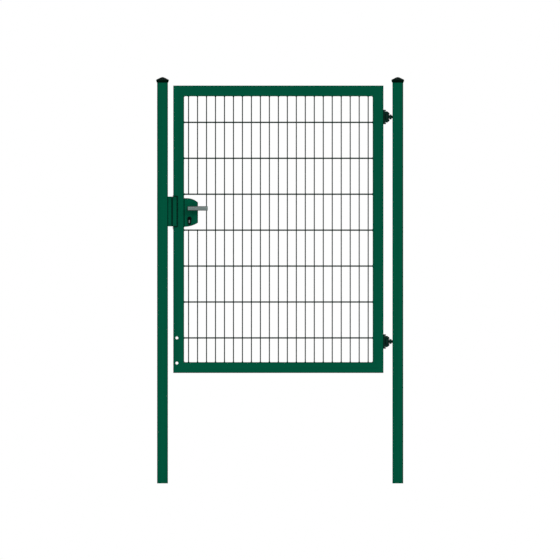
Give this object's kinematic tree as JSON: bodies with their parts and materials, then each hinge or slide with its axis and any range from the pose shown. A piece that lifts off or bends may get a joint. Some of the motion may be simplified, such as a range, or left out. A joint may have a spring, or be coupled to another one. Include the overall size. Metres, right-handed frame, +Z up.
{
  "type": "tubular frame gate",
  "caption": "Single-leaf garden gate: welded square-tube frame with double-rod mesh, lever lock, stop plate and eye-bolt hinges, hung between two capped posts.",
  "frame": {"origin": "centre of the hinge post's foot face", "axes": "+Z up along the posts; +X from the latch post towards the hinge post; -Y towards the side with the stop plate, +Y the side that the leaf opens to"},
  "size_m": [1.3806, 0.112, 2.262],
  "materials": {
    "green_coat": "moss green powder coat on galvanised steel",
    "wire_coat": "very dark green powder coat on galvanised wire",
    "hinge_coat": "near-black green coat",
    "cap_plastic": "black moulded plastic",
    "buffer_rubber": "black rubber",
    "satin_aluminium": "satin grey metal",
    "nickel_plate": "dull nickel",
    "zinc_plate": "zinc-plated steel",
    "dark_metal": "dark metal"
  },
  "bodies": {
    "posts": {"hinge_post": "green_coat", "latch_post": "green_coat", "hinge_post_cap": "cap_plastic", "latch_post_cap": "cap_plastic", "keep_channel": "green_coat", "stop_plate": "green_coat", "stop_buffer": "buffer_rubber", "upper_eye_bolt": "hinge_coat", "lower_eye_bolt": "hinge_coat", "upper_hinge_nut": "hinge_coat", "lower_hinge_nut": "hinge_coat"},
    "leaf": {"top_rail": "green_coat", "bottom_rail": "green_coat", "lock_stile": "green_coat", "hinge_stile": "green_coat", "mesh_panel": "wire_coat", "lock_case": "green_coat", "lock_body": "zinc_plate", "lock_forend": "zinc_plate", "dead_bolt": "zinc_plate", "lock_cylinder": "nickel_plate", "front_key_plug": "dark_metal", "back_key_plug": "dark_metal", "front_cylinder_surround": "cap_plastic", "back_cylinder_surround": "cap_plastic", "front_handle_rose": "cap_plastic", "back_handle_rose": "cap_plastic", "upper_hinge_clevis": "hinge_coat", "lower_hinge_clevis": "hinge_coat", "upper_hinge_pin": "zinc_plate", "lower_hinge_pin": "zinc_plate"},
    "handle": {"handle_spindle": "zinc_plate", "front_lever": "satin_aluminium", "back_lever": "satin_aluminium"},
    "latch": {"latch_bolt": "zinc_plate"}
  },
  "joints": [
    {"name": "leaf_swing", "type": "hinge", "parent": "posts", "child": "leaf", "pos_m": [-0.061, 0, 1.415], "axis": [0, 0, -1], "range_deg": [0, 90]},
    {"name": "handle_turn", "type": "hinge", "parent": "leaf", "child": "handle", "pos_m": [-1.16, 0, 1.531], "axis": [0, 1, 0], "range_deg": [0, 40], "stiffness_Nm_per_rad": 1, "springref_deg": -34.38},
    {"name": "latch_slide", "type": "slide", "parent": "leaf", "child": "latch", "axis": [1, 0, 0], "range_m": [0, 0.0161]}
  ],
  "couplings": [
    {"joint": "latch_slide", "follows": "handle_turn", "m_per_rad": 0.0229}
  ]
}
